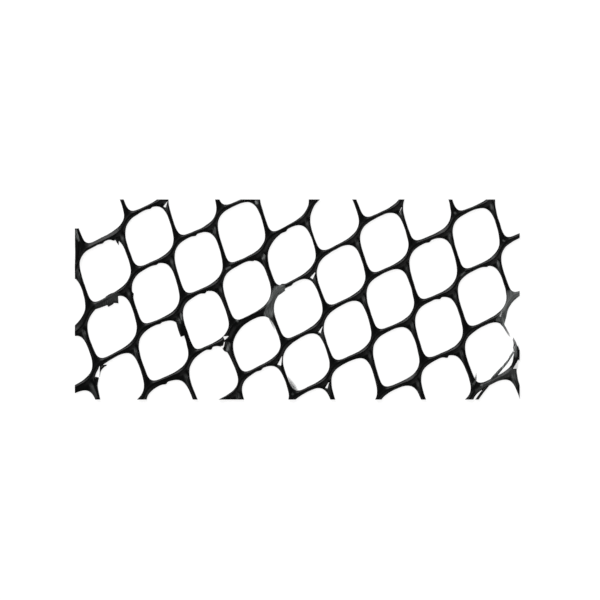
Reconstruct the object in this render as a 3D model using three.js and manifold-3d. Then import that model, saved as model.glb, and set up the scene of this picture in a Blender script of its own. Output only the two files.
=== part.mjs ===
import * as THREE from 'three';
import { mergeVertices } from 'three/addons/utils/BufferGeometryUtils.js';
import Module from 'manifold-3d';

// A cut length of black hexagonal plastic mesh, extruded in one piece and lying flat.
// Millimetres: X runs along the length, Y across it, Z up. The underside is at Z = 0
// and the origin is under the middle of the piece.

// The cut length
const netLength = 177.8;
const netWidth = 80;
const netThickness = 1.6;

// The holes repeat along two directions, in degrees from X
const rowPitch = 21.9;
const rowAngle = -25.5;
const columnPitch = 22.4;
const columnAngle = -83.7;
const firstHole = { x: -3.9, y: 15.5 };
const latticeReach = 7;

// Two junctions belong to each hole, given from its middle: the fork, where a shallow and a
// steep strand part, and the web below it. A short double bar joins the two.
const forkPlace = { x: -7, y: 11.1 };
const webPlace = { x: -10.2, y: 4.4 };

// Half widths of the strands. The bar's is under zero, because the rounding of the holes
// already leaves it thick. All grow a little towards the lower edge.
const shallowHalf = 0.63;
const steepHalf = 0.7;
const barHalf = -0.27;
const growthPerMillimetre = 0.0024;
const cornerPower = 4.8;

// Steps of a hole's outline along a long strand and along a bar
const strandSteps = 5;
const barSteps = 2;

// Chamfer of the strands along every hole, and how far the cutters pass the faces
const chamfer = 0.42;
const cutterPass = 0.2;

// The net never lay straight: a long wave runs through it, and four places are pulled
const wave = { length: 87, angle: -29, phase: -2, dx: 0.3, dy: 1.24 };
const pulls = [
  { x: -104.3, y: -17.8, dx: -1.4, dy: -6.9, reach: 23.2 },
  { x: -31.2, y: -65.8, dx: 2.9, dy: 1.15, reach: 46.4 },
  { x: 80, y: -32.7, dx: 1.35, dy: -2.15, reach: 16.5 },
  { x: 11.5, y: 28.8, dx: 0.25, dy: 1.45, reach: 15.6 },
];

// Strands that came out uneven: by hole, how much further each one round it reaches into it
const unevenStrands = [
  { column: -5, row: 3, rightBar: 0.7, below: 1.2 },
  { column: -5, row: 5, above: 1.2 },
  { column: -4, row: 1, above: -0.9, below: 0.6, leftBar: -2 },
  { column: -4, row: 2, above: -0.3, rightBar: -0.4, leftBar: -2 },
  { column: -3, row: 4, above: 0.6, right: 0.3 },
  { column: -2, row: 1, right: -0.5 },
  { column: -2, row: 2, right: 0.3, left: 0.8, leftBar: 0.5 },
  { column: -2, row: 3, above: -0.5, right: 0.6, rightBar: -1.5, below: -0.8, leftBar: 0.6 },
  { column: -1, row: 0, left: 0.4 },
  { column: -1, row: 1, above: 0.3, right: 0.3, below: -0.5, left: -0.3 },
  { column: -1, row: 2, above: 1, rightBar: -0.8, left: -0.5, leftBar: 2.4 },
  { column: -1, row: 3, left: 0.9, leftBar: 0.4 },
  { column: 0, row: 0, above: 0.3, leftBar: 1.8 },
  { column: 0, row: 1, above: -0.4, right: -0.2, leftBar: 0.9 },
  { column: 1, row: -1, above: -1.6, leftBar: 1 },
  { column: 3, row: -1, right: -0.4 },
  { column: 4, row: -2, left: 0.3 },
  { column: 5, row: -1, above: -0.5, left: -1.4, leftBar: 0.6 },
];

// Material beyond the even net: each row is a straight piece from x, y along heading, which
// goes from its width to its tip width and stays its inset away from both faces of the net
const addedPieces = [
  { name: 'edge strand', x: -88, y: 28.3, heading: -90, length: 20, width: 1.8, tip: 1.8, inset: 0 },
  { name: 'lap', x: -76, y: -0.6, heading: 21.5, length: 4.9, width: 3.5, tip: 4.4, inset: 0 },
  { name: 'thick strand', x: -47.5, y: -9.6, heading: -70, length: 5.3, width: 2, tip: 2, inset: 0.1 },
  { name: 'barb', x: -79.2, y: -27.4, heading: 24, length: 3.5, width: 2, tip: 0.2, inset: 0.3 },
  { name: 'spur', x: -72, y: 23.7, heading: -73, length: 2, width: 1.7, tip: 0.2, inset: 0.3 },
  { name: 'torn top', x: 81.8, y: -8.6, heading: -61.5, length: 6.4, width: 1.45, tip: 0.25, inset: 0.3 },
  { name: 'torn foot', x: 88, y: -21.8, heading: 103.5, length: 6.5, width: 1.9, tip: 0.4, inset: 0.3 },
  { name: 'thread foot', x: 72, y: -40.2, heading: 55.6, length: 10.6, width: 1.2, tip: 1, inset: 0.3 },
  { name: 'thread', x: 77.9, y: -31.7, heading: 50.7, length: 13.3, width: 0.9, tip: 0.75, inset: 0.4 },
];

// Material that is missing, in the same columns and through both faces. The slivers are thin
// gaps in the webs, where the two strands of a bar part.
const missingPieces = [
  { name: 'tear', x: 82.9, y: -10.4, heading: -65.7, length: 11.2, width: 3.2, tip: 3.2 },
  { name: 'slit', x: -79, y: -26.7, heading: -101.5, length: 4.1, width: 0.2, tip: 1.5 },
  { name: 'nick', x: -29.3, y: -15.5, heading: 24.5, length: 1.95, width: 1.6, tip: 0.25 },
  { name: 'sliver 1', x: -51.9, y: 39.2, heading: -118, length: 2.5, width: 0.1, tip: 1 },
  { name: 'sliver 2', x: 41.7, y: 36.8, heading: -103, length: 2.7, width: 0.2, tip: 1 },
  { name: 'sliver 3', x: 7.1, y: 10.7, heading: -122, length: 2.8, width: 0.3, tip: 1.2 },
  { name: 'sliver 4', x: 10.1, y: -10.8, heading: -116, length: 3, width: 0.1, tip: 0.9 },
  { name: 'sliver 5', x: -6.1, y: -22.8, heading: -107, length: 4, width: 0.1, tip: 1.6 },
  { name: 'sliver 6', x: 12.7, y: -33, heading: -114, length: 2.6, width: 0.1, tip: 0.9 },
  { name: 'sliver 7', x: 81.9, y: -5, heading: -112, length: 2.3, width: 0.1, tip: 0.9 },
  { name: 'sliver 8', x: 87.8, y: -25.6, heading: -108, length: 2.4, width: 0.2, tip: 1.3 },
];

const radians = THREE.MathUtils.degToRad;

function direction(angle) {
  return new THREE.Vector2(Math.cos(radians(angle)), Math.sin(radians(angle)));
}

// Moves a point of the straight lattice to where it lies in the uneven net
function settle(point) {
  const turn = 360 * point.dot(direction(wave.angle)) / wave.length + wave.phase;
  const rise = Math.sin(radians(turn));
  const settled = new THREE.Vector2(point.x + wave.dx * rise, point.y + wave.dy * rise);
  for (const pull of pulls) {
    const gap = Math.hypot(point.x - pull.x, point.y - pull.y) / pull.reach;
    const share = Math.exp(-gap * gap);
    settled.x += share * pull.dx;
    settled.y += share * pull.dy;
  }
  return settled;
}

function latticePoint(column, row, offset = { x: 0, y: 0 }) {
  const point = new THREE.Vector2(firstHole.x + offset.x, firstHole.y + offset.y);
  point.addScaledVector(direction(rowAngle), column * rowPitch);
  point.addScaledVector(direction(columnAngle), row * columnPitch);
  return settle(point);
}

// Six strands stand round a hole, from the one above it, clockwise. Each starts at a junction
// of this hole or of a neighbour, which lies some columns and rows away.
const strandsOfHole = [
  { side: 'above', columns: 0, rows: 0, junction: forkPlace, half: shallowHalf, steps: strandSteps },
  { side: 'right', columns: 1, rows: -1, junction: webPlace, half: steepHalf, steps: strandSteps },
  { side: 'rightBar', columns: 1, rows: 0, junction: forkPlace, half: barHalf, steps: barSteps },
  { side: 'below', columns: 1, rows: 0, junction: webPlace, half: shallowHalf, steps: strandSteps },
  { side: 'left', columns: 0, rows: 1, junction: forkPlace, half: steepHalf, steps: strandSteps },
  { side: 'leftBar', columns: 0, rows: 0, junction: webPlace, half: barHalf, steps: barSteps },
];

// The strands of one hole where they lie, each with its reach: how far it stays from the middle
function strandsAround(column, row) {
  const middle = latticePoint(column, row);
  const uneven = unevenStrands.find((hole) => hole.column === column && hole.row === row) ?? {};
  const corners = strandsOfHole.map(({ columns, rows, junction }) => (
    latticePoint(column + columns, row + rows, junction)
  ));
  const strands = strandsOfHole.map(({ side, half, steps }, k) => {
    const start = corners[k];
    const end = corners[(k + 1) % corners.length];
    const along = end.clone().sub(start).normalize();
    const outward = new THREE.Vector2(-along.y, along.x);
    const growth = -growthPerMillimetre * (start.y + end.y) / 2;
    const thickness = half + growth + (uneven[side] ?? 0);
    return { start, end, steps, outward, reach: outward.dot(start.clone().sub(middle)) - thickness };
  });
  return { middle, strands };
}

// A rounded hexagon: the power blends the sides, so that each corner is round. Its points lie
// on rays from the middle of the hole to steps along the strands.
function holeOutline(column, row) {
  const { middle, strands } = strandsAround(column, row);
  const points = [];
  for (const { start, end, steps } of strands) {
    for (let step = 0; step < steps; step += 1) {
      const ray = start.clone().lerp(end, step / steps).sub(middle).normalize();
      let sum = 0;
      for (const { outward, reach } of strands) {
        sum += Math.max(0, ray.dot(outward) / reach) ** cornerPower;
      }
      points.push(middle.clone().addScaledVector(ray, sum ** (-1 / cornerPower)));
    }
  }
  return points;
}

// The cutter of a hole has the hole's own outline inside the net and opens at both faces,
// which chamfers the strands
function holeCutter(column, row) {
  const flare = chamfer + cutterPass;
  const cutter = new THREE.ExtrudeGeometry(new THREE.Shape(holeOutline(column, row)), {
    depth: netThickness - 2 * chamfer,
    bevelEnabled: true,
    bevelThickness: flare,
    bevelSize: -flare,
    bevelOffset: flare,
    bevelSegments: 1,
  });
  return cutter.translate(0, 0, chamfer);
}

function straightPiece({ x, y, heading, length, width, tip, inset = -cutterPass }) {
  const outline = new THREE.Shape([
    new THREE.Vector2(0, -width / 2),
    new THREE.Vector2(length, -tip / 2),
    new THREE.Vector2(length, tip / 2),
    new THREE.Vector2(0, width / 2),
  ]);
  const depth = netThickness - 2 * inset;
  const piece = new THREE.ExtrudeGeometry(outline, { depth, bevelEnabled: false });
  return piece.rotateZ(radians(heading)).translate(x, y, inset);
}

const wasm = await Module();
wasm.setup();

function toSolid(geometry) {
  const shape = geometry.clone();
  shape.deleteAttribute('normal');
  shape.deleteAttribute('uv');
  const merged = mergeVertices(shape);
  return new wasm.Manifold(new wasm.Mesh({
    numProp: 3,
    vertProperties: new Float32Array(merged.attributes.position.array),
    triVerts: new Uint32Array(merged.index.array),
  }));
}

function toGeometry(solid) {
  const mesh = solid.getMesh();
  const geometry = new THREE.BufferGeometry();
  geometry.setAttribute('position', new THREE.BufferAttribute(new Float32Array(mesh.vertProperties), 3));
  geometry.setIndex(new THREE.BufferAttribute(new Uint32Array(mesh.triVerts), 1));
  geometry.computeVertexNormals();
  return geometry;
}

// The middle of every hole that can reach the sheet
function holesNearby() {
  const holes = [];
  for (let column = -latticeReach; column <= latticeReach; column += 1) {
    for (let row = -latticeReach; row <= latticeReach; row += 1) {
      const { x, y } = latticePoint(column, row);
      const near = Math.abs(x) < netLength / 2 + rowPitch && Math.abs(y) < netWidth / 2 + columnPitch;
      if (near) holes.push({ column, row });
    }
  }
  return holes;
}

function largestBody(solid) {
  return solid.decompose().reduce((best, body) => (body.volume() > best.volume() ? body : best));
}

function buildNet() {
  const sheet = new THREE.BoxGeometry(netLength, netWidth, netThickness).translate(0, 0, netThickness / 2);
  const frame = toSolid(sheet);
  let net = frame;
  for (const { column, row } of holesNearby()) {
    net = net.subtract(toSolid(holeCutter(column, row)));
  }
  for (const piece of missingPieces) {
    net = net.subtract(toSolid(straightPiece(piece)));
  }
  for (const piece of addedPieces) {
    net = net.add(toSolid(straightPiece(piece)));
  }
  return largestBody(net.intersect(frame));
}

const plastic = new THREE.MeshStandardMaterial({ color: 0x16191a, roughness: 0.45, metalness: 0 });

const net = new THREE.Mesh(toGeometry(buildNet()), plastic);
net.name = 'net';

const group = new THREE.Group();
group.add(net);

export default group;
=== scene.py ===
import math

import bmesh
import bpy
from mathutils import Matrix, Vector, geometry, kdtree, noise


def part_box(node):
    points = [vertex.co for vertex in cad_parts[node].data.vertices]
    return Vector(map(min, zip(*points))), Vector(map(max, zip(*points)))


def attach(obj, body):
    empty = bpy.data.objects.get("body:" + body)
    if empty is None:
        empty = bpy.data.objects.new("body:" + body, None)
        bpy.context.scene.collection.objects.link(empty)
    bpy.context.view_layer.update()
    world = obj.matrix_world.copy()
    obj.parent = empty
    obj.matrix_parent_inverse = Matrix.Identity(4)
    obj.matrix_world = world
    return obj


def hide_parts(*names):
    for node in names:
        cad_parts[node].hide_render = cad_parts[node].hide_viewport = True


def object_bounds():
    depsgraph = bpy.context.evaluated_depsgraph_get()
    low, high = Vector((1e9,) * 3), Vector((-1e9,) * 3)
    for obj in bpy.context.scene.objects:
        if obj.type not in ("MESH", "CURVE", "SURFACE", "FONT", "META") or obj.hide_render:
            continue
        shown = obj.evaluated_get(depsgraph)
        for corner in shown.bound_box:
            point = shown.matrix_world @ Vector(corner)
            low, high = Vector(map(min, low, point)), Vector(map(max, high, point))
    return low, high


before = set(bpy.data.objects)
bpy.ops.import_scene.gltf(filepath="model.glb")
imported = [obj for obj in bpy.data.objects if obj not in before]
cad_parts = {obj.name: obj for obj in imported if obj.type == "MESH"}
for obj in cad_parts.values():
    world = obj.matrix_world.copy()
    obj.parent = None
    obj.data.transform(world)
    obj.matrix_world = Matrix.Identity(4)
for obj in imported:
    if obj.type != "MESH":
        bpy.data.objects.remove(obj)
cadLow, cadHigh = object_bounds()
print("frame loaded")

mm = 0.001        # the net's own sizes are in millimetres, and each mesh is scaled to metres at the end
near = {"plane": 1e-5, "point": 1e-4, "weld": 1e-3}      # gaps in millimetres that count as none
sharpAngle = 40   # degrees between two faces, above which their edge stays sharp

# how the holes repeat, as in the solid, and the places round each of them
lattice = {
    "rowPitch": 21.9, "rowAngle": -25.5,
    "columnPitch": 22.4, "columnAngle": -83.7,
    "firstHole": (-3.9, 15.5),
    "middle": (0, 0),
    "fork": (-7, 11.1),          # from a hole's middle to where a shallow and a steep strand part
    "web": (-10.2, 4.4),         # and to where they meet again, below the short bar
    "reach": 7,                  # columns and rows that are tried each way
}

# a long wave runs through the net, and four places are pulled
wave = {"length": 87, "angle": -29, "phase": -2, "dx": 0.3, "dy": 1.24}
pulls = [
    {"x": -104.3, "y": -17.8, "dx": -1.4, "dy": -6.9, "reach": 23.2},
    {"x": -31.2, "y": -65.8, "dx": 2.9, "dy": 1.15, "reach": 46.4},
    {"x": 80, "y": -32.7, "dx": 1.35, "dy": -2.15, "reach": 16.5},
    {"x": 11.5, "y": 28.8, "dx": 0.25, "dy": 1.45, "reach": 15.6},
]


def direction(angle):
    return Vector((math.cos(math.radians(angle)), math.sin(math.radians(angle))))


def hump(gap, sharpness=1):       # 1 at its middle, fading smoothly with the gap from there
    return math.exp(-gap * gap * sharpness)


def settle(point):                # from the straight lattice to where the uneven net lies
    turn = 360 * point.dot(direction(wave["angle"])) / wave["length"] + wave["phase"]
    rise = math.sin(math.radians(turn))
    settled = point + rise * Vector((wave["dx"], wave["dy"]))
    for pull in pulls:
        gap = (point - Vector((pull["x"], pull["y"]))).length / pull["reach"]
        settled += hump(gap) * Vector((pull["dx"], pull["dy"]))
    return settled


def latticePoint(column, row, place="middle"):
    point = Vector(lattice["firstHole"]) + Vector(lattice[place])
    point += column * lattice["rowPitch"] * direction(lattice["rowAngle"])
    point += row * lattice["columnPitch"] * direction(lattice["columnAngle"])
    return settle(point)


def latticeNumbers(more=0):       # of the columns or rows that are tried
    reach = lattice["reach"] + more
    return range(-reach, reach + 1)


# Half widths of the strands, a little over the solid's, because a round edge looks thinner than a
# chamfer. The bar's is under zero, because the rounding of the holes already leaves it thick.
strands = {
    "half": {"shallow": 0.77, "steep": 0.84, "bar": -0.06},
    "growth": 0.0024,            # for each millimetre towards the lower edge
    "cornerPower": 4.8,          # roundness of the holes' corners
    "forkCorner": 0.34, "forkReach": 3.5,    # the corners at forks go a little deeper
    "wander": 0.09, "wanderScale": 0.35,     # the edges waver slightly
    "steps": {"shallow": 40, "steep": 24, "bar": 14},
}

# Six strands stand round a hole, from the one above it, clockwise. Each starts at a junction of
# this hole or of a neighbour, which lies some columns and rows away.
strandsOfHole = [
    {"side": "above", "kind": "shallow", "columns": 0, "rows": 0, "start": "fork"},
    {"side": "right", "kind": "steep", "columns": 1, "rows": -1, "start": "web"},
    {"side": "rightBar", "kind": "bar", "columns": 1, "rows": 0, "start": "fork"},
    {"side": "below", "kind": "shallow", "columns": 1, "rows": 0, "start": "web"},
    {"side": "left", "kind": "steep", "columns": 0, "rows": 1, "start": "fork"},
    {"side": "leftBar", "kind": "bar", "columns": 0, "rows": 0, "start": "web"},
]

# strands that came out uneven: by hole, how much further each one round it reaches into it
unevenStrands = {
    (-5, 3): {"rightBar": 0.7, "below": 1.2},
    (-5, 4): {"above": -0.3, "right": 0.2},
    (-5, 5): {"above": 1.2},
    (-4, 1): {"above": -0.9, "below": 0.75, "left": 0.3, "leftBar": -2},
    (-4, 2): {"above": -0.3, "rightBar": -0.4, "leftBar": -2},
    (-4, 3): {"leftBar": 0.5},
    (-3, 1): {"leftBar": 0.25},
    (-3, 2): {"leftBar": 0.25},
    (-3, 3): {"right": -0.8, "rightBar": -0.2, "leftBar": 0.35},
    (-3, 4): {"above": 0.6, "right": 0.3},
    (-2, 1): {"right": -0.5, "rightBar": 0.2},
    (-2, 2): {"right": 0.3, "left": 0.8, "leftBar": 0.8},
    (-2, 3): {"above": -0.5, "right": 0.6, "rightBar": -1.1, "below": -0.5, "left": -0.4,
              "leftBar": 0.75},
    (-1, 0): {"left": 0.4},
    (-1, 1): {"above": 0.3, "right": 0.3, "rightBar": 0.3, "below": -0.5, "left": -0.3},
    (-1, 2): {"above": 1, "rightBar": -0.8, "left": -0.5, "leftBar": 2.4},
    (-1, 3): {"above": -0.25, "right": -0.45, "left": 0.9, "leftBar": 0.4},
    (0, -1): {"below": -0.3},
    (0, 0): {"above": 0.1, "right": -0.15, "leftBar": 1.8},
    (0, 1): {"above": -0.4, "right": -0.2, "left": -0.2, "leftBar": 0.9},
    (0, 2): {"right": -0.15, "leftBar": 1},
    (1, -1): {"above": -1.6, "below": -0.1, "left": -0.25, "leftBar": 1},
    (1, 0): {"leftBar": 0.4},
    (1, 1): {"left": -0.35, "leftBar": 0.45},
    (1, 2): {"above": 0.35},
    (2, -2): {"rightBar": 0.2},
    (2, 1): {"rightBar": 0.25, "below": 0.2, "leftBar": 0.25},
    (3, -2): {"rightBar": 0.45, "below": 0.35, "left": -0.2},
    (3, -1): {"right": -0.4, "rightBar": 0.4},
    (4, -2): {"rightBar": 0.35, "left": 0.3},
    (4, -1): {"right": -0.35},
    (4, 0): {"below": 0.3, "left": 0.15},
    (5, -3): {"below": 0.3},
    (5, -2): {"below": 0.3, "left": 0.25},
    (5, -1): {"above": -0.5, "left": -1.4, "leftBar": 0.6},
}

# Drips of plastic hang at the holes' edges: along the strand each swells slowly and ends steeply.
# The places are shares of the strand's length.
drip = {"slow": 2, "steep": 0.9, "sharpness": 2, "reach": 0.4}
drips = [
    {"hole": (-2, 1), "side": "above", "at": 0.5, "size": 1.3},
    {"hole": (-2, 2), "side": "above", "at": 0.6, "size": 1.5},
    {"hole": (-2, 3), "side": "above", "at": 0.55, "size": 2},
    {"hole": (-3, 4), "side": "above", "at": 0.47, "size": 1.4},
    {"hole": (-1, 1), "side": "above", "at": 0.78, "size": 0.8},
    {"hole": (-1, 3), "side": "above", "at": 0.53, "size": 1.1},
    {"hole": (0, 0), "side": "above", "at": 0.45, "size": 1.1},
    {"hole": (0, 1), "side": "above", "at": 0.42, "size": 1},
    {"hole": (3, -1), "side": "above", "at": 0.47, "size": 1.1},
    {"hole": (3, 0), "side": "above", "at": 0.62, "size": 1.4},
    {"hole": (3, 1), "side": "above", "at": 0.65, "size": 2},
    {"hole": (4, -1), "side": "above", "at": 0.75, "size": 0.9},
    {"hole": (-3, 2), "side": "left", "at": 0.88, "size": 1.5},
    {"hole": (0, 0), "side": "below", "at": 0.86, "size": 1.2},
    {"hole": (-3, 1), "side": "above", "at": 0.62, "size": 1},
    {"hole": (-3, 2), "side": "above", "at": 0.62, "size": 0.9},
    {"hole": (-3, 3), "side": "above", "at": 0.53, "size": 0.9},
    {"hole": (-4, 2), "side": "above", "at": 0.5, "size": 1},
    {"hole": (-4, 2), "side": "above", "at": 0.84, "size": 1.7},
]


def dripDepth(hole, strand, share):          # how far the drips push the edge into the hole
    depth = 0
    for one in drips:
        if one["hole"] == hole and one["side"] == strand["side"]:
            along = (share - one["at"]) * (strand["end"] - strand["start"]).length
            gap = along / (drip["slow"] if along < 0 else drip["steep"])
            depth += one["size"] * drip["reach"] * hump(gap, drip["sharpness"])
    return depth


def strandsAround(column, row):
    middle = latticePoint(column, row)
    uneven = unevenStrands.get((column, row), {})
    corners = [latticePoint(column + strand["columns"], row + strand["rows"], strand["start"])
               for strand in strandsOfHole]
    around = []
    for strand, start, end in zip(strandsOfHole, corners, corners[1:] + corners[:1]):
        along = (end - start).normalized()
        outward = Vector((-along.y, along.x))
        thickness = strands["half"][strand["kind"]] + uneven.get(strand["side"], 0)
        thickness -= strands["growth"] * (start.y + end.y) / 2
        around.append({
            "side": strand["side"], "start": start, "end": end, "outward": outward,
            "reach": outward.dot(start - middle) - thickness,
            "steps": strands["steps"][strand["kind"]],
        })
    return middle, around


def edgeOnRay(middle, around, target):       # where a ray leaves the hole, and the rim's slope there
    ray = (target - middle).normalized()
    power = strands["cornerPower"]
    shares = [max(0, ray.dot(strand["outward"]) / strand["reach"]) for strand in around]
    edge = middle + ray * sum(share ** power for share in shares) ** (-1 / power)
    normal = Vector((0, 0))
    for share, strand in zip(shares, around):
        normal += share ** (power - 1) / strand["reach"] * strand["outward"]
    normal.normalize()
    for fromFork in around[::2]:             # every second strand starts at a fork
        gap = (edge - fromFork["start"]).length / strands["forkReach"]
        edge += strands["forkCorner"] * hump(gap) * normal
    edge += strands["wander"] * noise.noise(edge.to_3d() * strands["wanderScale"]) * normal
    return edge, ray.dot(normal)


def holesNearby():                # those that can reach into the cut length
    size = (cadHigh - cadLow) / mm
    farX, farY = size.x / 2 + lattice["rowPitch"], size.y / 2 + lattice["columnPitch"]
    for column in latticeNumbers():
        for row in latticeNumbers():
            x, y = latticePoint(column, row)
            if abs(x) < farX and abs(y) < farY:
                yield column, row


# Two families of strands cross in the bars. The shallow ones lie on top and the steep ones under
# them, so each family has its own line, which rounds the corners at forks and webs.
lines = {"turn": 3.7, "turnSteps": 16, "handle": 2 / 3, "straightStep": 0.3}


def roundedLine(corners):
    points = []
    for before, corner, after in zip(corners, corners[1:], corners[2:]):
        start = corner + (before - corner).normalized() * lines["turn"]
        end = corner + (after - corner).normalized() * lines["turn"]
        if points:
            steps = max(1, round((start - points[-1]).length / lines["straightStep"]))
            points += [points[-1].lerp(start, k / steps) for k in range(1, steps)]
        handles = [place.lerp(corner, lines["handle"]) for place in (start, end)]
        points += geometry.interpolate_bezier(start, *handles, end, lines["turnSteps"])
    return points


class StrandFamily:               # finds how far a point lies along the nearest strand and across it
    def __init__(self, linesOfCorners):
        self.places = []
        for corners in linesOfCorners:
            points, along = roundedLine(corners), 0
            for point, after in zip(points, points[1:]):
                if (after - point).length > near["point"]:
                    self.places.append((point, (after - point).normalized(), along))
                    along += (after - point).length
        self.tree = kdtree.KDTree(len(self.places))
        for k, (point, _, _) in enumerate(self.places):
            self.tree.insert(point.to_3d(), k)
        self.tree.balance()

    def at(self, point):
        _, k, _ = self.tree.find((point[0], point[1], 0))
        start, forward, along = self.places[k]
        step = Vector((point[0], point[1])) - start
        return along + step.dot(forward), forward.x * step.y - forward.y * step.x


def shallowCorners(number):       # a shallow strand climbs to the right: web, fork, next web
    return [latticePoint(column, number - column, place)
            for column in latticeNumbers(1) for place in ("web", "fork")]


def steepCorners(column):         # a steep strand falls to the right: fork, web, next fork
    return [latticePoint(column, row, place)
            for row in latticeNumbers(1) for place in ("fork", "web")]


shallow = StrandFamily([shallowCorners(number) for number in latticeNumbers()])
steep = StrandFamily([steepCorners(column) for column in latticeNumbers()])
print("strand lines laid out")

# heights of the faces in millimetres: over a strand of each family and over a bare web
relief = {
    "middle": 0.78, "shallowTop": 1.6, "steepTop": 1.45, "webTop": 1.05,
    "shallowFoot": 0.2, "steepFoot": 0, "webFoot": 0.42,
    "ridgeHalf": 0.78, "ridgePower": 3.4,
    "crease": 0.16,              # along the sides of a shallow strand, where it lies on a steep one
    "rim": 0.7,                  # how far the rounding of a strand reaches in from its edge
    "rimPower": 2.6,
    # below each web the steep strand comes out low from under the shallow one
    "dip": 0.6, "dipReach": 1.6, "dipPlace": (0.4, -1.2), "dipShareOfWeb": 0.3,
    # above each fork the plastic fills the corner between the two strands
    "fill": 0.42, "fillReach": 1.9, "fillPlace": (0.6, 0.9),
}


def placesBy(junction, shift):    # the same place at each junction of the net
    tree = kdtree.KDTree(len(latticeNumbers()) ** 2)
    for column in latticeNumbers():
        for row in latticeNumbers():
            place = latticePoint(column, row, junction) + Vector(shift)
            tree.insert(place.to_3d(), 0)
    tree.balance()
    return tree


dips = placesBy("web", relief["dipPlace"])
fills = placesBy("fork", relief["fillPlace"])


def ridge(across):
    return 1 / (1 + abs(across / relief["ridgeHalf"]) ** relief["ridgePower"])


def faceHeights(point):
    onShallow, onSteep = ridge(shallow.at(point)[1]), ridge(steep.at(point)[1])
    dipGap = dips.find(point.to_3d())[2] / relief["dipReach"]
    dipShare = relief["dipShareOfWeb"] + (1 - relief["dipShareOfWeb"]) * onSteep
    fillGap = fills.find(point.to_3d())[2] / relief["fillReach"]
    top = relief["webTop"] + relief["fill"] * hump(fillGap)
    top += (relief["steepTop"] - top) * onSteep
    top -= relief["dip"] * dipShare * hump(dipGap)
    top += (relief["shallowTop"] - top) * onShallow
    top -= relief["crease"] * onShallow * (1 - onShallow) * onSteep
    foot = relief["webFoot"] - (relief["webFoot"] - relief["steepFoot"]) * onSteep
    foot -= (relief["webFoot"] - relief["shallowFoot"]) * onShallow * (1 - onSteep)
    return top, foot


# Stations from a strand's edge to its middle line: shares of the rounded rim, then even steps
stations = {"rim": [0, 0.04, 0.13, 0.28, 0.5], "inner": 4, "footRim": [0.06, 0.22, 0.5], "footInner": 3}


def acrossStrand(edge, line, slope):         # from the middle line below to the edge and back on top
    full = (line - edge).length * slope
    rim = min(full, relief["rim"])

    def station(depth, onTop):
        place = edge.lerp(line, depth / full)
        top, foot = faceHeights(place)
        share = min(1, depth / rim)
        rise = (1 - (1 - share) ** relief["rimPower"]) ** (1 / relief["rimPower"])
        height = relief["middle"] + rise * ((top if onTop else foot) - relief["middle"])
        return Vector((place.x, place.y, height))

    def depths(rimShares, steps):
        last = rimShares[-1] * rim
        inner = [last + (full - last) * k / steps for k in range(1, steps + 1)]
        return [share * rim for share in rimShares] + inner

    feet = [station(depth, False) for depth in depths(stations["footRim"], stations["footInner"])]
    tops = [station(depth, True) for depth in depths(stations["rim"], stations["inner"])]
    return feet[::-1] + tops


def bendGrid(bm, sections):       # a grid laid through sections of points
    columns, rows = len(sections) - 1, len(sections[0]) - 1
    grid = bmesh.ops.create_grid(bm, x_segments=columns, y_segments=rows, size=1)
    for vert in grid["verts"]:
        i = round((vert.co.x + 1) / 2 * columns)
        j = round((vert.co.y + 1) / 2 * rows)
        vert.co = sections[i][j]


def addHole(bm, column, row):     # the half strands round one hole, closed into a ring
    middle, around = strandsAround(column, row)
    sections = []
    for strand in around:
        for step in range(strand["steps"]):
            share = step / strand["steps"]
            line = strand["start"].lerp(strand["end"], share)
            edge, slope = edgeOnRay(middle, around, line)
            edge -= dripDepth((column, row), strand, share) * strand["outward"]
            sections.append(acrossStrand(edge, line, slope))
    bendGrid(bm, sections + sections[:1])


def cropToNet(bm):                # flat cut ends on the four sides, where the solid has them
    low, high = (Vector(corner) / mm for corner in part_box("net"))
    for x, y in ((1, 0), (-1, 0), (0, 1), (0, -1)):
        side, corner = Vector((x, y, 0)), high if x + y > 0 else low
        everything = bm.verts[:] + bm.edges[:] + bm.faces[:]
        bmesh.ops.bisect_plane(bm, geom=everything, dist=near["plane"], plane_co=corner, plane_no=side,
                               clear_outer=True)
        rim = [edge for edge in bm.edges if edge.is_boundary
               and all(abs((vert.co - corner).dot(side)) < near["weld"] for vert in edge.verts)]
        bmesh.ops.holes_fill(bm, edges=rim, sides=0)


def newPiece(bm, name):
    mesh = bpy.data.meshes.new(name)
    bm.to_mesh(mesh)
    bm.free()
    piece = bpy.data.objects.new(name, mesh)
    bpy.context.scene.collection.objects.link(piece)
    return piece


def closedPiece(bm, name, cropped):
    bmesh.ops.recalc_face_normals(bm, faces=bm.faces)
    if cropped:
        cropToNet(bm)
    return newPiece(bm, name)


def toMetres(piece):
    piece.data.transform(Matrix.Scale(mm, 4))
    piece.data.shade_smooth()
    piece.data.set_sharp_from_angle(angle=math.radians(sharpAngle))


def buildNet():
    bm = bmesh.new()
    for column, row in holesNearby():
        addHole(bm, column, row)
    bmesh.ops.remove_doubles(bm, verts=bm.verts, dist=near["weld"])
    return closedPiece(bm, "fineNet", cropped=True)


net = buildNet()
print("net built:", len(net.data.polygons), "faces")

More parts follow.
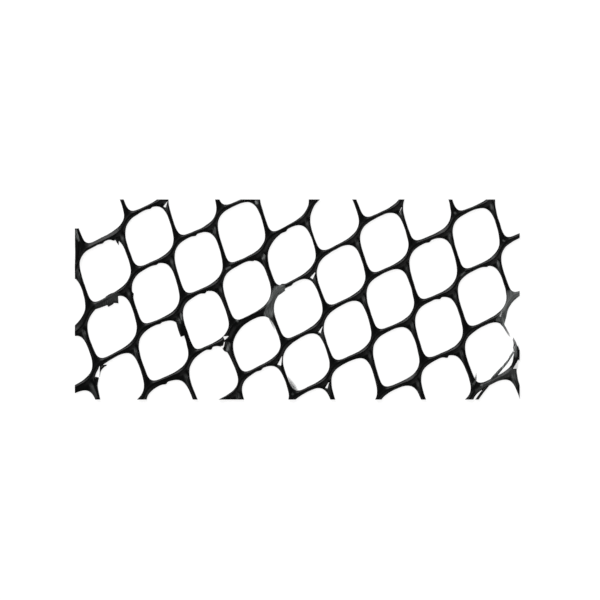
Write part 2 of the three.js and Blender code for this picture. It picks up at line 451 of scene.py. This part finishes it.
# Rods follow a route and have a width and two faces' heights at each of its points. Loose, lapped
# and torn strands are such rods.
rod = {"sides": 12, "steps": 4}
looseStrands = {
    "edgeStrand": {
        "x": (-88.1, -87.9, -87.5, -87.7, -88.1, -88.1), "y": (28.4, 24.5, 21.5, 18, 13, 8.2),
        "width": (1.8, 2.2, 2.8, 2.3, 1.8, 1.8),
        "foot": (0.1, 0, 0, 0, 0, 0.1), "top": (1.5, 1.5, 1.5, 1.5, 1.55, 1.5),
    },
    "lap": {                      # near the left end, where one strand lies over another
        "x": (-75.8, -73.8, -71.6), "y": (-0.4, 0.55, 0.8), "width": (3.5, 4.1, 4.7),
        "foot": (0.2, 0.2, 0.2), "top": (1.5, 1.55, 1.55),
    },
    "lapRoot": {
        "x": (-83, -80, -77.5, -75), "y": (-3.6, -2.45, -1.5, -0.5), "width": (2, 2.5, 2.6, 2.6),
        "foot": (0.3, 0.2, 0.2, 0.2), "top": (1.2, 1.4, 1.5, 1.5),
    },
    "lapDrip": {
        "x": (-74.2, -75, -75.6), "y": (-0.8, -1.8, -2.8), "width": (2.4, 1.8, 0.5),
        "foot": (0.4, 0.4, 0.6), "top": (1.4, 1.2, 0.9),
    },
    "thickStrand": {
        "x": (-47.5, -46.5, -45.5), "y": (-8.6, -11.8, -14.6), "width": (2.2, 2.4, 2.4),
        "foot": (0.2, 0.1, 0.1), "top": (1.4, 1.5, 1.5),
    },
    "barb": {
        "x": (-78.9, -78.7, -78.3, -77.4, -76.1), "y": (-29.2, -28.2, -27.3, -26.6, -26.2),
        "width": (0.4, 0.9, 1.3, 1.05, 0.3),
        "foot": (0.5, 0.5, 0.5, 0.5, 0.6), "top": (0.8, 1.2, 1.4, 1.2, 0.8),
    },
    "barbLink": {
        "x": (-78.8, -79.1), "y": (-28.9, -30.9), "width": (0.4, 0.35),
        "foot": (0.5, 0.5), "top": (0.9, 0.9),
    },
    "belowSlit": {
        "x": (-80, -80.5, -80.1, -79.3), "y": (-31, -34.2, -37, -40.5), "width": (1.6, 1.5, 1.5, 1.4),
        "foot": (0.1, 0.1, 0.1, 0.1), "top": (1.4, 1.4, 1.4, 1.4),
    },
    "nickEnd": {
        "x": (-28.3, -29.1, -28.9, -27.5), "y": (-17.4, -18.9, -20, -20.9), "width": (1, 1.4, 1.4, 0.8),
        "foot": (0.4, 0.3, 0.3, 0.4), "top": (1.3, 1.4, 1.4, 1.2),
    },
    "spur": {
        "x": (-72.2, -71.8, -71.4), "y": (24.6, 23.1, 21.7), "width": (2, 1, 0.15),
        "foot": (0.3, 0.4, 0.6), "top": (1.4, 1.2, 0.8),
    },
    "tornTop": {
        "x": (81.2, 82.2, 83), "y": (-8.4, -10, -11.3), "width": (1.8, 1.3, 0.7),
        "foot": (0.2, 0.3, 0.5), "top": (1.3, 1.2, 1),
    },
    "tornFoot": {
        "x": (86.1, 87.1, 87.5, 87.8, 87.7, 87.3), "y": (-27.2, -25, -23, -21, -19.4, -18.2),
        "width": (1.8, 2.1, 2.3, 2, 1.6, 0.9),
        "foot": (0, 0.1, 0.1, 0.2, 0.3, 0.5), "top": (1.4, 1.5, 1.5, 1.3, 1.2, 0.9),
    },
    "thread": {                   # from the torn foot across a corner and out at the lower edge
        "x": (86.4, 85.1, 83.3, 81.1, 79.1, 77.6, 75.9, 73.7, 71),
        "y": (-21, -23.2, -25.7, -28.2, -30.5, -32.3, -34.6, -37.4, -41.2),
        "width": (0.7, 0.8, 1, 1.15, 1.4, 1.3, 1.2, 1.15, 1.15),
        "foot": (0.7, 0.6, 0.5, 0.4, 0.4, 0.4, 0.3, 0.2, 0.2),
        "top": (1.1, 1.2, 1.4, 1.5, 1.55, 1.55, 1.4, 1.3, 1.3),
    },
    "sleeve": {                   # round the stretched fork left of the middle
        "x": (-8.6, -6.9, -5.8, -4.9), "y": (3.3, 3.8, 4.15, 4.3), "width": (4.2, 3.2, 2.4, 1.8),
        "foot": (0.3, 0.3, 0.3, 0.3), "top": (1.55, 1.58, 1.55, 1.5),
    },
    "sleeveCorner": {
        "x": (-6.7, -6), "y": (4.8, 6.1), "width": (1.5, 0.6), "foot": (0.3, 0.5), "top": (1.5, 1.2),
    },
}


def smoothRoute(points, steps):   # a curve through points of any number of values
    route = []
    padded = [points[0], *points, points[-1]]
    for before, start, end, after in zip(padded, padded[1:], padded[2:], padded[3:]):
        for step in range(steps):
            t = step / steps
            bend = (2 * before - 5 * start + 4 * end - after) * t * t
            twist = (3 * start - before - 3 * end + after) * t ** 3
            route.append((2 * start + (end - before) * t + bend + twist) / 2)
    return [*route, points[-1]]


def addRod(bm, x, y, width, foot, top):
    route = smoothRoute([Vector(point) for point in zip(x, y, width, foot, top)], rod["steps"])
    sections = []
    for k, (px, py, wide, low, high) in enumerate(route):
        before, after = route[max(0, k - 1)], route[min(len(route) - 1, k + 1)]
        forward = Vector((after[0] - before[0], after[1] - before[1])).normalized()
        across = Vector((-forward.y, forward.x, 0)) * wide / 2
        middle = Vector((px, py, (low + high) / 2))
        section = []
        for side in range(rod["sides"]):
            turn = 2 * math.pi * side / rod["sides"]
            rise = Vector((0, 0, (high - low) / 2 * math.sin(turn)))
            section.append(middle + across * math.cos(turn) + rise)
        sections.append(section + section[:1])
    made = len(bm.verts)
    bendGrid(bm, sections)
    bm.verts.ensure_lookup_table()
    bmesh.ops.remove_doubles(bm, verts=bm.verts[made:], dist=near["point"])
    ends = [edge for edge in bm.edges if edge.is_boundary]
    bmesh.ops.holes_fill(bm, edges=ends, sides=0)


def buildRods(rods, name, cropped=True):
    bm = bmesh.new()
    for rows in rods:
        addRod(bm, **rows)
    return closedPiece(bm, name, cropped)


# What is cut away: straight pieces through both faces, from x, y along a heading, as wide as the
# width at their start and as the tip at their end. The gaps come before the loose strands.
gaps = [                          # the tear, beside the stretched fork, above the edge strand
    {"x": 82.9, "y": -10.4, "heading": -65.7, "length": 11.2, "width": 3.2, "tip": 3.2},
    {"x": 86.2, "y": -3.65, "heading": -107.3, "length": 8.6, "width": 3, "tip": 3},
    {"x": -88, "y": 41, "heading": -90, "length": 12.6, "width": 4.6, "tip": 4.6},
]
slits = [                         # by the barb, three at the nick, at the stretched fork and the torn foot
    {"x": -79, "y": -26.7, "heading": -101.5, "length": 4.1, "width": 0.2, "tip": 1.5},
    {"x": -29.3, "y": -15.5, "heading": 24.5, "length": 1.95, "width": 1.6, "tip": 0.25},
    {"x": -29.1, "y": -17, "heading": -103, "length": 2, "width": 0.3, "tip": 0.4},
    {"x": -32, "y": -19.5, "heading": 14, "length": 2.5, "width": 0.2, "tip": 1},
    {"x": 81.9, "y": -4.7, "heading": -111, "length": 2.3, "width": 0.1, "tip": 0.75},
    {"x": 86.3, "y": -27.6, "heading": 30, "length": 3.6, "width": 0.1, "tip": 4.4},
    {"x": 88.95, "y": -27, "heading": -90, "length": 7, "width": 2.6, "tip": 0.2},
]
slivers = [                       # thin gaps in webs, each with a pale end
    {"x": -51.9, "y": 39.2, "heading": -118, "length": 2.5, "width": 0.1, "tip": 1},
    {"x": 41.7, "y": 36.8, "heading": -103, "length": 2.7, "width": 0.2, "tip": 1},
    {"x": 7.1, "y": 10.7, "heading": -122, "length": 2.6, "width": 0.3, "tip": 1.2},
    {"x": 10.1, "y": -10.8, "heading": -116, "length": 2.7, "width": 0.1, "tip": 0.9},
    {"x": -6.1, "y": -22.7, "heading": -107, "length": 3.7, "width": 0.1, "tip": 1.5},
    {"x": 12.7, "y": -33, "heading": -114, "length": 2.6, "width": 0.1, "tip": 0.9},
]
cutter = {"foot": -3, "top": 4.6}        # far beyond both faces, so that its sides stand upright


def endOf(cut):
    return Vector((cut["x"], cut["y"])) + cut["length"] * direction(cut["heading"])


def cutterRows(cut):              # a cut as a rod's rows
    end = endOf(cut)
    return {"x": (cut["x"], end.x), "y": (cut["y"], end.y), "width": (cut["width"], cut["tip"]),
            "foot": (cutter["foot"],) * 2, "top": (cutter["top"],) * 2}


def buildCutters(cuts, name):
    return buildRods([cutterRows(cut) for cut in cuts], name, cropped=False)


def combine(piece, changes):      # joins other pieces to it or cuts it with them, for good
    for operation, other in changes:
        modifier = piece.modifiers.new(other.name, "BOOLEAN")
        modifier.operation, modifier.solver, modifier.object = operation, "MANIFOLD", other
    combined = piece.evaluated_get(bpy.context.evaluated_depsgraph_get())
    mesh = bpy.data.meshes.new_from_object(combined)
    piece.modifiers.clear()
    piece.data = mesh
    for _, other in changes:
        bpy.data.objects.remove(other)


def cutOneByOne(cuts, name):      # cuts that overlap each other don't work together
    return [("DIFFERENCE", buildCutters([cut], f"{name}{k}")) for k, cut in enumerate(cuts)]


combine(net, [
    *cutOneByOne(gaps, "gap"),
    ("UNION", buildRods(looseStrands.values(), "looseStrands")),
    *cutOneByOne(slits, "slit"),
    ("DIFFERENCE", buildCutters(slivers, "slivers")),
])
toMetres(net)
print("flaws added:", len(net.data.polygons), "faces")


def paintStrandMaps(piece):       # maps that run along the strands, and masks for what lies where
    mesh = piece.data
    maps = ((shallow, "shallowLine", "onShallow"), (steep, "steepLine", "onSteep"))
    for family, mapName, maskName in maps:
        places = [family.at(vert.co / mm) for vert in mesh.vertices]
        mask = mesh.attributes.new(maskName, "FLOAT", "POINT")
        mask.data.foreach_set("value", [ridge(across) for _, across in places])
        strandMap = mesh.uv_layers.new(name=mapName)
        for loop in mesh.loops:
            strandMap.data[loop.index].uv = places[loop.vertex_index]


paintStrandMaps(net)
print("strand maps painted")

# Pale places and painted highlights, from black at 0 to whitish at 1: stretched plastic that went pale,
# thin torn ends, streaks with some painted highlight lines, small spots that are painted glints, and a
# painted sheen below each web. Each runs from one point to another, as wide as its reach.
paleAndSheen = {
    "soft": 0.3,                 # width of the fading edge
    "step": 0.15,                # between the spots that make up a streak
    "bridge": 0.4, "bridgeReach": 0.3,       # at the end of each sliver
    # below each web a painted sheen: the start of the steep strand is painted paler as a highlight, one
    # more than another
    "sheen": 0.12, "sheenEnd": 0.03, "sheenReach": 0.4,
    "sheenFrom": (0.5, -1.3), "sheenTo": (1.5, -5.2),
    "sheenSpread": 1.2, "sheenScale": 0.13,
}
paleAndSheenPlaces = [
    # the stretched fork left of the middle
    {"from": (-7.9, 3.8), "to": (-6.2, 4.2), "reach": 1.5, "start": 0.36, "end": 0.36},
    {"from": (-8.1, 3), "to": (-11.5, -5.8), "reach": 1.7, "start": 0.36, "end": 0.4},
    # the one at the right end
    {"from": (85.5, 2.3), "to": (88.9, 2.2), "reach": 1.5, "start": 0.4, "end": 0.4},
    {"from": (85.4, 1.4), "to": (82.2, -7.6), "reach": 1.7, "start": 0.4, "end": 0.36},
    {"from": (81.5, -6.8), "to": (80.2, -8), "reach": 0.7, "start": 0.36, "end": 0.3},
    # torn ends
    {"from": (82.2, -8.6), "to": (83.1, -11.2), "reach": 0.8, "start": 0.3, "end": 0.6},
    {"from": (86.9, -18), "to": (87.1, -22.5), "reach": 0.6, "start": 0.8, "end": 0.15},
    {"from": (86.4, -21.4), "to": (79.2, -30.4), "reach": 0.5, "start": 0.6, "end": 0.25},
    {"from": (82.4, -26.8), "to": (82.6, -26.6), "reach": 0.5, "start": 0.9, "end": 0.9},
    # greyish web and fork in the lower right
    {"from": (71.7, -36.4), "to": (78.1, -32.2), "reach": 0.5, "start": 0.1, "end": 0.2},
    {"from": (79.5, -31.5), "to": (86, -28.6), "reach": 1.2, "start": 0.12, "end": 0.12},
    {"from": (86.2, -28.9), "to": (87.3, -34), "reach": 1, "start": 0.14, "end": 0.1},
    # the lap on the left, the strand below it and the barb's link
    {"from": (-79.5, -2), "to": (-71.8, 1), "reach": 1.4, "start": 0.08, "end": 0.13},
    {"from": (-81.8, -35.2), "to": (-80.5, -39), "reach": 0.5, "start": 0.12, "end": 0.12},
    {"from": (-78.8, -29), "to": (-79.1, -30.8), "reach": 0.2, "start": 0.4, "end": 0.4},
    # streaks; the last two, at forks, are painted highlight lines
    {"from": (-88.5, 27.6), "to": (-87.4, 24), "reach": 0.2, "start": 0.6, "end": 0.5},
    {"from": (-46.4, -5.8), "to": (-46.3, -7.9), "reach": 0.2, "start": 0.75, "end": 0.7},
    {"from": (-46.8, -8.2), "to": (-46.9, -9.2), "reach": 0.3, "start": 0.3, "end": 0.2},
    {"from": (-27, -17.7), "to": (-28.1, -20.3), "reach": 0.35, "start": 0.3, "end": 0.5},
    {"from": (71.3, -32.4), "to": (70.1, -34.2), "reach": 0.15, "start": 0.25, "end": 0.25},
    {"from": (-28.3, 12.3), "to": (-26.9, 13), "reach": 0.15, "start": 0.3, "end": 0.3},
    {"from": (65.4, 9.6), "to": (66.8, 10.8), "reach": 0.15, "start": 0.3, "end": 0.3},
    # spots: painted glints, small highlights on the strands
    {"from": (-13, 17.8), "to": (-13.8, 16.3), "reach": 0.2, "start": 0.5, "end": 0.6},
    {"from": (-16.4, 39), "to": (-16.2, 38.5), "reach": 0.35, "start": 0.6, "end": 0.5},
    {"from": (77.4, 37.9), "to": (77.8, 36.5), "reach": 0.35, "start": 0.35, "end": 0.2},
    {"from": (80.2, 15), "to": (80.5, 13.7), "reach": 0.25, "start": 0.5, "end": 0.3},
    {"from": (61, 26.3), "to": (61, 25.7), "reach": 0.3, "start": 0.25, "end": 0.25},
    {"from": (-32.9, 28.6), "to": (-32.9, 28.2), "reach": 0.2, "start": 0.3, "end": 0.3},
    {"from": (-24, -8.4), "to": (-23.9, -8.4), "reach": 0.2, "start": 0.5, "end": 0.5},
    {"from": (63.1, 34.6), "to": (63.2, 34.5), "reach": 0.2, "start": 0.35, "end": 0.35},
    {"from": (82.5, 23.4), "to": (82.6, 23.3), "reach": 0.2, "start": 0.35, "end": 0.35},
    {"from": (85.9, -30.2), "to": (86, -31), "reach": 0.25, "start": 0.3, "end": 0.3},
    {"from": (73.6, -34.2), "to": (73.9, -34.4), "reach": 0.2, "start": 0.6, "end": 0.6},
    {"from": (-1.9, -37.8), "to": (-1.8, -37.8), "reach": 0.25, "start": 0.15, "end": 0.15},
    {"from": (-23.7, -37.8), "to": (-23.3, -38.8), "reach": 0.5, "start": 0.12, "end": 0.12},
]


def paintPaleAndSheen(piece):             # painted sheens and glints, pale places and the slivers' ends
    mesh = piece.data
    tree = kdtree.KDTree(len(mesh.vertices))
    for vert in mesh.vertices:
        tree.insert((vert.co.x / mm, vert.co.y / mm, 0), vert.index)
    tree.balance()
    values = [0] * len(mesh.vertices)

    def paint(start, end, reach, startValue, endValue):
        start, end = Vector(start), Vector(end)
        steps = max(1, round((end - start).length / paleAndSheen["step"]))
        for step in range(steps + 1):
            share = step / steps
            value = startValue + (endValue - startValue) * share
            for _, index, gap in tree.find_range(start.lerp(end, share).to_3d(), reach + paleAndSheen["soft"]):
                fade = min(1, max(0, (reach + paleAndSheen["soft"] - gap) / paleAndSheen["soft"]))
                values[index] = max(values[index], value * fade * fade * (3 - 2 * fade))

    # a painted sheen below each web: the steep strand's start is painted paler as a highlight
    for column, row in holesNearby():
        web = latticePoint(column, row, "web")
        share = 1 + paleAndSheen["sheenSpread"] * noise.noise(web.to_3d() * paleAndSheen["sheenScale"])
        paint(web + Vector(paleAndSheen["sheenFrom"]), web + Vector(paleAndSheen["sheenTo"]), paleAndSheen["sheenReach"],
              paleAndSheen["sheen"] * share, paleAndSheen["sheenEnd"] * share)
    for place in paleAndSheenPlaces:
        paint(place["from"], place["to"], place["reach"], place["start"], place["end"])
    for cut in slivers:
        paint(endOf(cut), endOf(cut), paleAndSheen["bridgeReach"], paleAndSheen["bridge"], paleAndSheen["bridge"])
    painted = mesh.attributes.new("paleAndSheen", "FLOAT", "POINT")
    painted.data.foreach_set("value", values)


paintPaleAndSheen(net)
print("pale places painted")

# Thin films of plastic: rods pressed flat, whose depth runs from clear at 0 to solid at 1. They
# lie in a few corners and end the torn strand. A soft one is laid in layers, each narrower than
# the one below it.
film = {"foot": 0.7, "thickness": 0.12, "layers": 3, "pitch": 0.24}
filmRoutes = [
    {"x": (-3.7, -3.1, -2.1, -0.9, 0.7), "y": (-30.8, -32.2, -34.4, -36.1, -36.5),
     "width": (0.2, 1.7, 2.7, 2.5, 0.2), "depth": (0.1, 0.2, 0.35, 0.35, 0.1), "soft": True},
    {"x": (-10.8, -10.3, -9.7, -9), "y": (-7.4, -8.6, -10.2, -12),
     "width": (1.1, 1.2, 0.9, 0.4), "depth": (0.9, 0.65, 0.5, 0.25), "soft": False},
    {"x": (81.9, 81.4, 80.9), "y": (-4.6, -5.7, -6.8),
     "width": (0.5, 1.1, 1.5), "depth": (0.65, 0.62, 0.6), "soft": False},
    {"x": (71.5, 71.5, 71.2, 70.8), "y": (-29, -30.4, -31.8, -33),
     "width": (0.2, 0.7, 1.2, 1.4), "depth": (0.1, 0.3, 0.5, 0.6), "soft": True},
    {"x": (87.3, 87.6, 88.2), "y": (-27.6, -26, -24.2),
     "width": (1.6, 1.5, 0.6), "depth": (0.3, 0.25, 0.1), "soft": False},
    {"x": (82.8, 83.7, 84.5, 85.1), "y": (-10.9, -12.5, -13.9, -14.9),
     "width": (1, 0.85, 0.75, 0.3), "depth": (0.92, 0.82, 0.65, 0.35), "soft": False},
    {"x": (87.3, 87, 86.8, 86.5, 86.6), "y": (-18.6, -17.5, -16.8, -16, -15.2),
     "width": (1.3, 1.2, 1, 0.75, 0.3), "depth": (0.95, 0.88, 0.82, 0.75, 0.5), "soft": False},
    {"x": (87, 86.6, 86.7), "y": (-20.4, -19.2, -17.9),
     "width": (0.8, 0.85, 0.5), "depth": (0.9, 0.8, 0.7), "soft": False},
    {"x": (88.3, 88.5, 88.4), "y": (-20.4, -19.2, -18),
     "width": (0.8, 0.6, 0.2), "depth": (0.6, 0.4, 0.2), "soft": False},
    {"x": (84.9, 86.3, 87), "y": (-23.3, -21.2, -20.2),
     "width": (1, 0.9, 0.8), "depth": (0.5, 0.6, 0.7), "soft": False},
]


def buildFilms():
    bm = bmesh.new()
    depth = bm.verts.layers.float.new("filmDepth")
    for route in filmRoutes:
        count = len(route["x"])
        points = [Vector(point) for point in zip(route["x"], route["y"], route["depth"])]
        fine = smoothRoute(points, rod["steps"])
        layers = film["layers"] if route["soft"] else 1
        for layer in range(layers):
            made = len(bm.verts)
            share = 1 - layer / layers
            foot = film["foot"] + film["pitch"] * layer
            addRod(bm, route["x"], route["y"], [width * share for width in route["width"]],
                   (foot,) * count, (foot + film["thickness"],) * count)
            bm.verts.ensure_lookup_table()
            for vert in bm.verts[made:]:
                nearest = min(fine, key=lambda point: (point.xy - vert.co.xy).length)
                vert[depth] = nearest.z
    return closedPiece(bm, "thinFilms", cropped=False)


films = buildFilms()
toMetres(films)
print("films built")


class Wire:                       # a node's output, so that shader maths reads as sums
    def __init__(self, graph, socket):
        self.graph, self.socket = graph, socket

    def out(self, name):
        return Wire(self.graph, self.socket.node.outputs[name])

    def math(self, operation, first, second):
        return self.graph.node("ShaderNodeMath", {"operation": operation}, {0: first, 1: second})

    def __add__(self, other):
        return self.math("ADD", self, other)

    def __radd__(self, other):
        return self.math("ADD", other, self)

    def __sub__(self, other):
        return self.math("SUBTRACT", self, other)

    def __rsub__(self, other):
        return self.math("SUBTRACT", other, self)

    def __mul__(self, other):
        return self.math("MULTIPLY", self, other)

    def __rmul__(self, other):
        return self.math("MULTIPLY", other, self)

    def __pow__(self, other):
        return self.math("POWER", self, other)


class Graph:                      # a material's nodes
    def __init__(self, name):
        self.material = bpy.data.materials.new(name)
        self.material.use_nodes = True
        self.tree = self.material.node_tree
        self.shader = self.tree.nodes["Principled BSDF"]

    def node(self, kind, settings=None, sockets=None):
        made = self.tree.nodes.new(kind)
        for key, value in (settings or {}).items():
            setattr(made, key, value)
        self.feed(made, sockets or {})
        return Wire(self, made.outputs[0])

    def feed(self, made, sockets):
        for key, value in sockets.items():
            if isinstance(value, Wire):
                self.tree.links.new(value.socket, made.inputs[key])
            else:
                made.inputs[key].default_value = value

    def mixColours(self, share, first, second):
        mixed = self.node("ShaderNodeMix", {"data_type": "RGBA"}, {0: share, 6: first, 7: second})
        return Wire(self, mixed.socket.node.outputs[2])

    def mixNumbers(self, share, first, second):
        return self.node("ShaderNodeMix", {"data_type": "FLOAT"}, {0: share, 2: first, 3: second})

    def noise(self, vector, scale, detail):
        return self.node("ShaderNodeTexNoise", {}, {"Vector": vector, "Scale": scale, "Detail": detail})


plastic = {
    "black": (0.0018, 0.0021, 0.0022, 1), "streak": (0.009, 0.01, 0.0103, 1),
    # whitish is both the whitened plastic's colour and the colour of the painted sheens and glints
    "whitish": (0.72, 0.76, 0.75, 1),
    "roughness": 0.27, "streakRoughness": 0.1, "paleRoughness": 0.3,
    "along": 0.14, "across": 2.6,            # draw lines for each millimetre of a strand
    "lineDetail": 3, "lineMiddle": 0.5,      # the detail and the middle of their noise
    "streakFrom": 0.35, "streakTo": 0.7,
    "paleContrast": 5,
    "bump": 0.5, "bumpHeight": 0.00006,
    "ior": 1.5,
}


def plasticMaterial():
    graph = Graph("blackPlastic")
    stretch = (plastic["along"], plastic["across"], 1)

    def drawLines(uvName):
        place = graph.node("ShaderNodeUVMap", {"uv_map": uvName})
        place = graph.node("ShaderNodeVectorMath", {"operation": "MULTIPLY"}, {0: place, 1: stretch})
        return graph.noise(place, 1, plastic["lineDetail"])

    onShallow = graph.node("ShaderNodeAttribute", {"attribute_name": "onShallow"}).out("Fac")
    lineNoise = graph.mixNumbers(onShallow, drawLines("steepLine"), drawLines("shallowLine"))
    sharpened = graph.node("ShaderNodeMapRange", {}, {
        "Value": lineNoise, "From Min": plastic["streakFrom"], "From Max": plastic["streakTo"]})
    colour = graph.mixColours(sharpened, plastic["black"], plastic["streak"])
    # paleness mixes towards whitish the whitened plastic and the painted highlights: sheens below webs,
    # glints and highlight lines
    palenessAndSheen = graph.node("ShaderNodeAttribute", {"attribute_name": "paleAndSheen"}).out("Fac")
    striated = palenessAndSheen * (1 + plastic["paleContrast"] * (lineNoise - plastic["lineMiddle"]))
    colour = graph.mixColours(striated, colour, plastic["whitish"])
    rough = plastic["roughness"] + plastic["streakRoughness"] * lineNoise
    rough = rough + plastic["paleRoughness"] * palenessAndSheen
    bump = graph.node("ShaderNodeBump", {}, {
        "Height": lineNoise, "Strength": plastic["bump"], "Distance": plastic["bumpHeight"]})
    graph.feed(graph.shader, {
        "Base Color": colour, "Roughness": rough, "Normal": bump, "IOR": plastic["ior"]})
    return graph.material


filmLook = {
    "colour": (0.12, 0.125, 0.125, 1), "roughness": 0.4,
    "grain": 2.5, "grainDetail": 2,          # for each millimetre
    "least": 0.8, "spread": 0.4,             # the share of its depth, uneven by the grain
}


def filmMaterial():
    graph = Graph("thinFilm")
    place = graph.node("ShaderNodeTexCoord").out("Object")
    grain = graph.noise(place, filmLook["grain"] / mm, filmLook["grainDetail"])
    depth = graph.node("ShaderNodeAttribute", {"attribute_name": "filmDepth"}).out("Fac")
    clearness = 1 - depth * (filmLook["least"] + filmLook["spread"] * grain)
    clearness = clearness.math("MAXIMUM", clearness, 0)
    oneFace = 1 - clearness ** (1 / 2)       # each film has two faces, an upper and a lower one
    graph.feed(graph.shader, {
        "Base Color": filmLook["colour"], "Roughness": filmLook["roughness"], "Alpha": oneFace})
    return graph.material


net.data.materials.clear()
net.data.materials.append(plasticMaterial())
films.data.materials.append(filmMaterial())
for piece in (net, films):
    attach(piece, "root")
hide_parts("net")

# floor, light and camera
white = (1, 1, 1, 1)
studio = {
    "floor": 6, "floorColour": (0.9, 0.9, 0.9, 1), "floorRoughness": 0.9, "floorGlow": 0.85,
    "worldGlow": 0.02, "backdropGlow": 1,
    "cameraHeight": 1.4, "frameWidth": 0.24, "target": (0.0011, -0.0002),
}
lamps = [
    {"name": "key", "from": (-0.55, 1.0, 1.0), "size": 1.0, "power": 7.0},
    {"name": "fill", "from": (0.9, -0.5, 1.0), "size": 1.0, "power": 1.4},
    {"name": "low", "from": (-0.9, -0.7, 0.9), "size": 0.8, "power": 1.0},
]


def buildFloor():
    bm = bmesh.new()
    bmesh.ops.create_grid(bm, x_segments=1, y_segments=1, size=studio["floor"] / 2)
    floor = newPiece(bm, "floor")
    graph = Graph("paleFloor")
    graph.feed(graph.shader, {
        "Base Color": studio["floorColour"], "Roughness": studio["floorRoughness"],
        "Emission Color": white, "Emission Strength": studio["floorGlow"]})
    floor.data.materials.append(graph.material)
    return floor


def addLamp(lamp):
    data = bpy.data.lights.new(lamp["name"], "AREA")
    data.shape, data.size, data.energy = "DISK", lamp["size"], lamp["power"]
    place = Vector(lamp["from"])
    made = bpy.data.objects.new(lamp["name"], data)
    made.matrix_world = Matrix.Translation(place) @ place.to_track_quat("Z", "Y").to_matrix().to_4x4()
    bpy.context.scene.collection.objects.link(made)


def buildWorld():                 # a dim glow, with a pale backdrop for the camera alone
    world = bpy.data.worlds.new("studio")
    world.use_nodes = True
    nodes, links = world.node_tree.nodes, world.node_tree.links
    glow = nodes["Background"]
    path = nodes.new("ShaderNodeLightPath")
    strength = nodes.new("ShaderNodeMapRange")
    strength.inputs["To Min"].default_value = studio["worldGlow"]
    strength.inputs["To Max"].default_value = studio["backdropGlow"]
    glow.inputs["Color"].default_value = white
    links.new(path.outputs["Is Camera Ray"], strength.inputs["Value"])
    links.new(strength.outputs[0], glow.inputs["Strength"])
    bpy.context.scene.world = world


def buildCamera():
    data = bpy.data.cameras.new("camera")
    data.lens = data.sensor_width * studio["cameraHeight"] / studio["frameWidth"]
    camera = bpy.data.objects.new("camera", data)
    camera.location = (*studio["target"], studio["cameraHeight"])
    bpy.context.scene.collection.objects.link(camera)
    bpy.context.scene.camera = camera


buildFloor()
for lamp in lamps:
    addLamp(lamp)
buildWorld()
buildCamera()
bpy.context.scene.view_settings.view_transform = "Standard"
print("studio ready")
